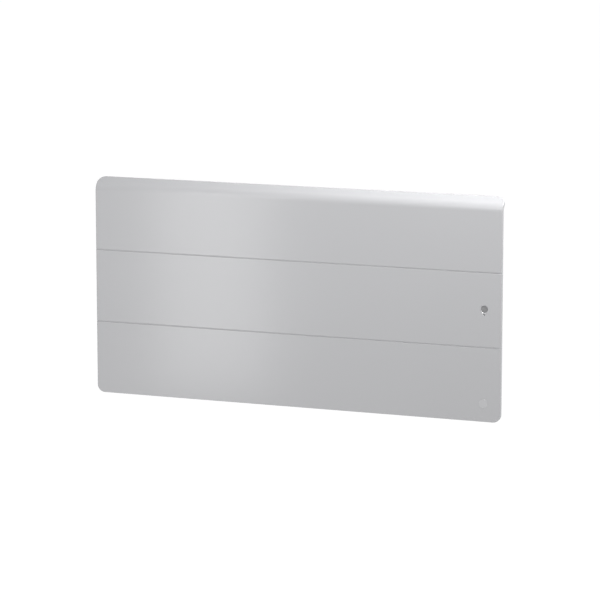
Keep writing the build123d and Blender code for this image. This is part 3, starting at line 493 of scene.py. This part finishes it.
class PanelForm:
    """The formed sheet: flat up to a crease, then bent back on an arc and sloping to its top edge.

    A place on it is (x, rise, depth): rise is the distance up the show face along its section, and depth is
    how far the place lies behind the show face.
    """

    bend_radius = 26.0 * MM
    bend_angle = math.radians(48.0)
    slope = 20.0 * MM
    crease = 469.0 * MM
    sheet = 2.5 * MM
    rim_depth = 8.0 * MM
    corner = 18.0 * MM
    edge = 1.6 * MM
    margin = 3.6 * MM  # inset of the outline at which the sliced face ends
    groove_rises = (167.0 * MM, 334.0 * MM)
    groove_depth = 1.3 * MM
    groove_half = 1.75 * MM

    def __init__(self):
        low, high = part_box("front_panel")
        self.half_width = high[0]
        self.front_y = low[1]
        self.bottom = low[2]
        self.bend_end = self.crease + self.bend_radius * self.bend_angle
        self.top = self.bend_end + self.slope

    def point(self, x, rise, depth):
        if rise <= self.crease:
            return Vector((x, self.front_y + depth, self.bottom + rise))
        angle = min(self.bend_angle, (rise - self.crease) / self.bend_radius)
        along = max(0.0, rise - self.bend_end)
        radius = self.bend_radius - depth
        y = self.front_y + self.bend_radius - radius * math.cos(angle) + along * math.sin(angle)
        z = self.bottom + self.crease + radius * math.sin(angle) + along * math.cos(angle)
        return Vector((x, y, z))

    def groove(self, rise):
        """Depth of the pressed grooves: a round bottom with softened shoulders."""
        for centre in self.groove_rises:
            share = abs(rise - centre) / self.groove_half
            if share < 1:
                return self.groove_depth * (0.5 + 0.5 * math.cos(math.pi * share)) ** 0.8
        return 0.0

    def outline(self):
        """The rounded rectangle at the margin, anticlockwise."""
        half = (self.half_width - self.margin, self.top / 2 - self.margin)
        return rounded_rectangle((0, self.top / 2), half, self.corner - self.margin, steps=14)

    def outward(self, place):
        """Direction out of the panel, within the sheet, at a place on the outline."""
        beyond_x = abs(place.x) - (self.half_width - self.corner)
        low, high = self.corner - place.y, place.y - (self.top - self.corner)
        beyond_rise = max(low, high)
        sign_x, sign_rise = math.copysign(1, place.x), 1 if high > low else -1
        return Vector((sign_x * max(0, beyond_x), sign_rise * max(0, beyond_rise))).normalized()

    def slices(self):
        """Heights at which the face is divided: finely over the grooves and the bend."""
        guard = 1.5 * MM
        for centre in self.groove_rises:
            yield centre - self.groove_half - guard
            for step in range(-6, 7):
                yield centre + self.groove_half * step / 6
            yield centre + self.groove_half + guard
        yield self.crease - guard
        steps = 30
        for step in range(steps + 1):
            yield self.crease + (self.bend_end - self.crease) * step / steps
        yield self.bend_end + guard

    def rim(self):
        """(inset, depth) of the rounded edge, the return rim and its lip, from the face inwards."""
        yield self.edge, 0.0
        steps = 6
        for step in range(1, steps + 1):
            turn = math.radians(90 * step / steps)
            yield self.edge * (1 - math.sin(turn)), self.edge * (1 - math.cos(turn))
        lip = 0.4 * MM
        for share in (0.0, 0.3, 1.0):
            yield share * lip, self.rim_depth - lip * (1 - share) ** 2
        for share in (1.0, 0.3, 0.0):
            yield self.sheet - share * lip, self.rim_depth - lip * (1 - share) ** 2
        yield self.sheet, self.sheet + lip


class Hole:
    """A round hole with a bevelled mouth, placed by its CAD node."""

    def __init__(self, form, node, radius, across, deep):
        middle = middle_of(node)
        self.centre = Vector((middle.x, middle.z - form.bottom))
        self.radius = radius
        self.deep = deep
        self.across = across
        self.mouth = radius + across

    def levels(self, form):
        """(radius, depth) of the rounded lip, the bevel and the wall."""
        yield self.radius + 0.93 * self.across, 0.02 * self.deep
        yield self.radius + 0.84 * self.across, 0.12 * self.deep
        yield self.radius + 0.06 * self.across, 0.93 * self.deep
        yield self.radius, 1.02 * self.deep
        yield self.radius, form.sheet - 0.2 * MM


def slice_layout(flat, place, across):
    everything = flat.verts[:] + flat.edges[:] + flat.faces[:]
    bmesh.ops.bisect_plane(flat, geom=everything, plane_co=place, plane_no=across, dist=1e-7)


def lay_out_face(form, sensor, light):
    """The show face laid flat in X and rise, sliced over its grooves, its bend and round the holes."""
    flat = bmesh.new()
    flat.faces.new([flat.verts.new((*place, 0)) for place in form.outline()])
    rises = list(form.slices())
    rises += [sensor.centre.y + 14 * MM, light.centre.y - 5 * MM]
    rises.append((sensor.centre.y - sensor.mouth + light.centre.y + light.mouth) / 2)
    for rise in rises:
        slice_layout(flat, (0, rise, 0), (0, 1, 0))
    bays = 10
    for x in [form.half_width * (2 * n / bays - 1) for n in range(1, bays)]:
        slice_layout(flat, (x, 0, 0), (1, 0, 0))
    for side in (-1, 1):
        slice_layout(flat, (sensor.centre.x + side * 14 * MM, 0, 0), (1, 0, 0))
    return flat


def boundary_of(flat):
    """The layout's outer vertices in order."""
    following = {}
    for edge in flat.edges:
        if edge.is_boundary:
            loop = edge.link_loops[0]
            following[loop.vert] = loop.link_loop_next.vert
    ordered = [next(iter(following))]
    while following[ordered[-1]] is not ordered[0]:
        ordered.append(following[ordered[-1]])
    return ordered


def open_hole(flat, hole, steps=48):
    """Swaps the face round the hole for faces that leave a circle open, and returns the circle's vertices."""
    centre = Vector((*hole.centre, 0))
    face = min(flat.faces, key=lambda f: (f.calc_center_bounds() - centre).length)
    corners = [loop.vert for loop in face.loops]
    flat.faces.remove(face)
    ring = [flat.verts.new(centre + hole.mouth * Vector((math.cos(t), math.sin(t), 0))) for t in turns(steps)]

    def nearest_step(vert):
        offset = vert.co - centre
        return round(math.atan2(offset.y, offset.x) / (2 * math.pi) * steps)

    for here, there in zip(corners, corners[1:] + corners[:1]):
        first, last = nearest_step(here), nearest_step(there)
        if last < first:
            last += steps
        flat.faces.new([here, there] + [ring[step % steps] for step in range(last, first - 1, -1)])
    return ring


def make_front_panel():
    """One closed mesh: show face, rounded edge, return rim, back face and the walls of the two holes."""
    form = PanelForm()
    sensor = Hole(form, "sensor_lens", 7.5 * MM, 1.7 * MM, 1.9 * MM)
    light = Hole(form, "light_pipe", 1.9 * MM, 0.4 * MM, 0.4 * MM)
    flat = lay_out_face(form, sensor, light)
    boundary = boundary_of(flat)
    circles = {hole: open_hole(flat, hole) for hole in (sensor, light)}
    bm = bmesh.new()

    def outline_ring(inset, depth):
        ring = []
        for vert in boundary:
            place = vert.co.xy + (form.margin - inset) * form.outward(vert.co.xy)
            fade = max(0.0, 1 - depth / (3 * form.edge))
            ring.append(bm.verts.new(form.point(*place, depth + fade * form.groove(place.y))))
        return ring

    def circle_ring(hole, radius, depth):
        ring = []
        for vert in circles[hole]:
            place = hole.centre + radius * (vert.co.xy - hole.centre).normalized()
            ring.append(bm.verts.new(form.point(*place, depth)))
        return ring

    front, back = {}, {}
    for vert in flat.verts:
        x, rise = vert.co.xy
        front[vert] = bm.verts.new(form.point(x, rise, form.groove(rise)))
        back[vert] = bm.verts.new(form.point(x, rise, form.sheet))
    for face in flat.faces:
        bm.faces.new([front[v] for v in face.verts])
        bm.faces.new([back[v] for v in reversed(face.verts)])
    rings = [outline_ring(inset, depth) for inset, depth in form.rim()]
    bridge(bm, [[front[v] for v in boundary], *rings, [back[v] for v in boundary]])
    for hole, circle in circles.items():
        walls = [circle_ring(hole, radius, depth) for radius, depth in hole.levels(form)]
        bridge(bm, [[front[v] for v in circle], *walls, [back[v] for v in circle]])
    flat.free()
    piece = add_piece("front_panel_sheet", mesh_from(bm, "front_panel_sheet"), "front_panel")
    apply_modifier(piece, "WEIGHTED_NORMAL", weight=100, keep_sharp=True)
    stand_for(piece, "front_panel")


# ---------------------------------------------------------------- sensor, light and badge

TOWARDS_ROOM = (0, -1, 0)


def turned_piece(name, node, profile, steps=64):
    """A piece turned about the node's own axis; travel starts at the node's rear face."""
    middle = middle_of(node)
    middle.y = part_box(node)[1][1]
    bm = bmesh.new()
    lathe(bm, profile, middle, TOWARDS_ROOM, steps)
    stand_for(add_piece(name, mesh_from(bm, name), node), node)


def make_sensor_lens():
    """Shallow dome with fine concentric lens steps, on its flange."""
    low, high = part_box("sensor_lens")
    depth, rim_r = high[1] - low[1], (high[0] - low[0]) / 2
    flange, step_h, rings = 0.55 * MM, 0.06 * MM, 7
    rise = depth - flange - 0.05 * MM
    hollow_r = rim_r - 1.6 * MM
    profile = [(0, 0.75 * flange), (hollow_r, 0.7 * flange), (hollow_r, 0), (rim_r, 0), (rim_r, flange)]
    for n in range(rings):
        outer, inner = 1 - n / rings, 1 - (n + 0.85) / rings
        for share, extra in ((outer, 0.0), (0.5 * (outer + inner), step_h), (inner, step_h)):
            radius = (rim_r - 0.12 * MM) * share
            profile.append((radius, flange + rise * (1 - share**2) + extra))
    profile.append((0, flange + rise + step_h))
    turned_piece("sensor_lens_rings", "sensor_lens", profile)


def make_light_pipe():
    low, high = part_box("light_pipe")
    radius, length = (high[0] - low[0]) / 2, high[1] - low[1]
    dome = 0.45 * MM
    profile = [(0, 0), (radius - 0.2 * MM, 0), (radius, 0.2 * MM), (radius, length - dome)]
    profile += [(radius * math.cos(t), length - dome + dome * math.sin(t)) for t in (0.4, 0.8, 1.2)]
    turned_piece("light_pipe_end", "light_pipe", [*profile, (0, length)], steps=32)


def make_badge():
    """Blank disc: a narrow raised rim round a faintly domed middle."""
    low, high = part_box("badge_disc")
    radius, height = (high[0] - low[0]) / 2, high[1] - low[1]
    rim = 0.7 * MM
    profile = [(0, 0), (radius, 0), (radius, 0.45 * height), (radius - 0.12 * MM, 0.85 * height)]
    profile += [(radius - 0.35 * MM, height), (radius - rim, 0.96 * height)]
    profile += [(radius - 1.4 * rim, 0.6 * height)]
    profile += [(radius * share, height * (0.85 - 0.25 * share**2)) for share in (0.8, 0.6, 0.4, 0.2)]
    turned_piece("badge_blank", "badge_disc", [*profile, (0, 0.85 * height)])


# ---------------------------------------------------------------- screws


def screw_template(head_r, head_h, shank_r, shank_l):
    """Pan-head screw along +Z from its seat, with a cross recess cut into the head."""
    bm = bmesh.new()
    crown = [(head_r * math.cos(t) ** 0.7, head_h * (0.3 + 0.7 * math.sin(t))) for t in (0.3, 0.6, 0.9, 1.2)]
    profile = [(0, -shank_l), (0.6 * shank_r, -shank_l), (shank_r, -shank_l + shank_r), (shank_r, 0)]
    profile += [(head_r - 0.15 * MM, 0), (head_r, 0.15 * MM), (head_r, 0.3 * head_h), *crown, (0, head_h)]
    lathe(bm, profile, steps=40)
    screw = add_piece("screw", mesh_from(bm, "screw"), "rear_screws")
    cut = bmesh.new()
    arm, blade = 0.52 * head_r, 0.13 * head_r
    for half in ((arm, blade), (blade, arm)):
        foot = (0.45 * half[0], 0.45 * half[1]), 0.02 * MM, 0.35 * head_h
        stack(cut, [foot, (half, 0.05 * MM, 1.2 * head_h)])
    cutter = bpy.data.objects.new("cutter", mesh_from(cut, "cutter"))
    bpy.context.collection.objects.link(cutter)
    apply_modifier(screw, "BOOLEAN", object=cutter, operation="DIFFERENCE", use_self=True)
    template = screw.data
    for helper in (screw, cutter):
        bpy.data.objects.remove(helper)
    return template


def make_rear_screws():
    """One screw in each place of the CAD group, each turned a little differently."""
    boxes = islands("rear_screws")
    low, high = boxes[0]
    head_r, head_h = (high.x - low.x) / 2, 2.2 * MM
    template = screw_template(head_r, head_h, 1.7 * MM, high.y - low.y - head_h)
    bm = bmesh.new()
    for n, (low, high) in enumerate(boxes):
        seat = Vector(((low.x + high.x) / 2, high.y - head_h, (low.z + high.z) / 2))
        place = Matrix.Translation(seat) @ Matrix.Rotation(math.radians(-90), 4, "X")
        copy = template.copy()
        copy.transform(place @ Matrix.Rotation(0.9 * n, 4, "Z"))
        bm.from_mesh(copy)
    name = "rear_screws_cross"
    stand_for(add_piece(name, mesh_from(bm, name), "rear_screws"), "rear_screws")


# ---------------------------------------------------------------- keys, symbols and display


class Marks:
    """Flat symbols in a local frame: x to the right, y up and z out of the surface they lie on."""

    def __init__(self, thickness=0.12 * MM):
        self.bm = bmesh.new()
        self.low, self.high = -thickness / 2, thickness / 2

    def bar(self, centre, length, width, turn=0.0):
        half = (length / 2, width / 2)
        radius = 0.49 * min(length, width)
        inner = (half[0] - 0.03 * MM, half[1] - 0.03 * MM)
        sections = [(half, radius, self.low), (half, radius, self.high - 0.02 * MM)]
        stack(self.bm, [*sections, (inner, radius - 0.03 * MM, self.high)], centre, turn)

    def ring(self, centre, radius, width):
        inner = radius - width
        loop = [(inner, self.low), (inner, self.high), (radius, self.high), (radius, self.low)]
        lathe(self.bm, [*loop, loop[0]], (*centre, 0), steps=40)
        bmesh.ops.remove_doubles(self.bm, verts=self.bm.verts, dist=WELD)

    def finish(self, name, node, place, ink="black_plastic"):
        """Puts the symbols in their place, riding with the node that they are printed on."""
        bmesh.ops.transform(self.bm, matrix=place, verts=self.bm.verts)
        piece = add_piece(name, mesh_from(self.bm, name), node)
        piece.data.materials[0] = MATERIALS[ink]
        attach(piece, body_of(node))


def key_marks(node):
    """A plain symbol for each key: bars, minus, ring, plus and clock."""
    marks = Marks()
    thin = 0.55 * MM
    if node == "key_mode":
        for y in (-1, 0, 1):
            marks.bar((0, 1.2 * MM * y), 4.0 * MM, thin)
    elif node in ("key_minus", "key_plus"):
        marks.bar((0, 0), 3.8 * MM, thin)
        if node == "key_plus":
            marks.bar((0, 0), 3.8 * MM, thin, math.radians(90))
    elif node == "key_ok":
        marks.ring((0, 0), 1.6 * MM, thin)
    else:
        marks.ring((0, 0), 1.9 * MM, 0.45 * MM)
        marks.bar((0, 0.5 * MM), 1.1 * MM, 0.35 * MM, math.radians(90))
        marks.bar((0.35 * MM, 0), 0.9 * MM, 0.35 * MM)
    return marks


def make_key(node):
    """Key cap with rounded shoulders and a dished top, on its flange and stem, and its symbol."""
    low, high = (Vector(corner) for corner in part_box(node))
    middle = (low + high) / 2
    flange = ((high.x - low.x) / 2, (high.y - low.y) / 2)
    cap = (flange[0] - 1.2 * MM, flange[1] - 1.2 * MM)
    flange_z = (high.z - 5.0 * MM, high.z - 3.8 * MM)
    stem_r, corner, flange_corner = 2.0 * MM, 2.0 * MM, 3.0 * MM
    sections = [((stem_r, stem_r), 0.98 * stem_r, z) for z in (low.z, flange_z[0])]
    sections += [(flange, flange_corner, z) for z in flange_z]
    sections += [(cap, corner, flange_z[1])]
    shoulder, dish, facets = 0.8 * MM, 0.25 * MM, 5
    for step in range(facets + 1):
        turn = math.radians(90 * step / facets)
        inset, drop = shoulder * (1 - math.cos(turn)), shoulder * (1 - math.sin(turn))
        sections.append(((cap[0] - inset, cap[1] - inset), corner - 0.8 * inset, high.z - drop))
    slopes = 6
    for step in range(1, slopes + 1):
        share = step / slopes
        inset = shoulder + share * (cap[1] - shoulder - 0.5 * MM)
        half = (cap[0] - inset, cap[1] - inset)
        radius = min(corner - 0.8 * shoulder, 0.9 * half[1])
        sections.append((half, radius, high.z - dish * math.sin(1.5 * share)))
    bm = bmesh.new()
    stack(bm, sections, middle.xy)
    stand_for(add_piece(node + "_cap", mesh_from(bm, node + "_cap"), node), node)
    place = Matrix.Translation((middle.x, middle.y, high.z - 0.93 * dish))
    key_marks(node).finish(node + "_mark", node, place)


SEGMENTS = {"0": "abcdef", "2": "abdeg", "5": "acdfg"}


def make_display_digits():
    """A set temperature in seven-bar digits, with a row of small output bars below it."""
    marks = Marks(0.04 * MM)
    width, height, stroke, pitch = 4.6 * MM, 9.0 * MM, 0.9 * MM, 8.0 * MM
    base_y, upright = 1.6 * MM, math.radians(90)
    for n, digit in enumerate("205"):
        x = (n - 1.3) * pitch
        for segment in SEGMENTS[digit]:
            if segment in "agd":
                y = {"a": 0.5, "g": 0.0, "d": -0.5}[segment] * height
                marks.bar((x, base_y + y), width - 0.8 * stroke, stroke)
            else:
                side = 0.5 if segment in "bc" else -0.5
                level = 0.25 if segment in "bf" else -0.25
                centre = (x + side * width, base_y + level * height)
                marks.bar(centre, height / 2 - 0.8 * stroke, stroke, upright)
    marks.bar((0.2 * pitch, base_y - height / 2), stroke, stroke)
    marks.ring((1.25 * pitch, base_y + 0.4 * height), 1.3 * MM, 0.5 * MM)
    for n in range(10):
        marks.bar(((n - 5.6) * 3.0 * MM, -6.6 * MM), 1.2 * MM, 1.6 * MM)
    middle = middle_of("display_window")
    place = Matrix.Translation((middle.x, middle.y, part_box("lcd_module")[1][2] + 0.03 * MM))
    marks.finish("display_digits", "lcd_module", place)


def make_rocker_marks():
    """A bar and a ring on the two halves of the rocker, leaning with it.

    The halves start at the rocker's middle and slope outwards, so each symbol follows its half's slope.
    """
    middle_depth, half_out = 5.2 * MM, 6.4 * MM
    slope = 1.2 / 10.4
    joint = next(j for j in frame["record"]["behaviour"]["joints"] if j["name"] == "rocker_turn")
    lean = Matrix.Rotation(math.radians(-joint["range_deg"][1] / 2), 4, "Y")
    marks = Marks()
    marks.bar((-half_out, 0), 4.2 * MM, 0.8 * MM, math.radians(90))
    marks.ring((half_out, 0), 2.2 * MM, 0.7 * MM)
    for vert in marks.bm.verts:
        vert.co.z += slope * abs(vert.co.x)
    place = Matrix.Translation(joint["pos_m"]) @ lean @ Matrix.Translation((0, 0, -middle_depth))
    facing_down = place @ Matrix.Rotation(math.pi, 4, "X")
    marks.finish("rocker_marks", "rocker_button", facing_down, ink="box_plastic")


# ---------------------------------------------------------------- softened sheet, moulded and turned nodes

SOFT_EDGES = {  # the width of each node's edge rounding, in millimetres
    "cheek_left": 0.6, "cheek_right": 0.6, "rear_panel": 0.3, "bottom_tray": 0.3, "outlet_grille": 0.35,
    "pod_housing": 0.5, "pod_bezel": 0.25, "display_window": 0.15, "upright_left": 0.3, "upright_right": 0.3,
    "heat_shield": 0.2, "heating_body": 0.3, "power_tray": 0.4, "power_cover": 0.3, "terminal_block": 0.3,
    "rocker_body": 0.35, "rocker_button": 0.4, "cable_gland": 0.35, "gland_nut": 0.4, "pivot_brackets": 0.3,
    "pivot_rods": 0.5, "clip_studs": 0.4, "bracket_rail_left": 0.35, "bracket_rail_right": 0.35,
    "bracket_crossbars": 0.3, "spring_clips": 0.2, "rest_pads": 0.8, "sensor_barrel": 0.3,
}


# ---------------------------------------------------------------- the whole

make_camera()
make_floor()
make_lights()
MATERIALS = make_materials()
for node, obj in NODES.items():
    for material_slot in obj.material_slots:
        material_slot.material = MATERIALS[SLOT_OF[node]]
make_front_panel()
make_sensor_lens()
make_light_pipe()
make_badge()
make_rear_screws()
for node in ("key_mode", "key_minus", "key_ok", "key_plus", "key_timer"):
    make_key(node)
make_display_digits()
make_rocker_marks()
for node, width in SOFT_EDGES.items():
    soften(node, width)
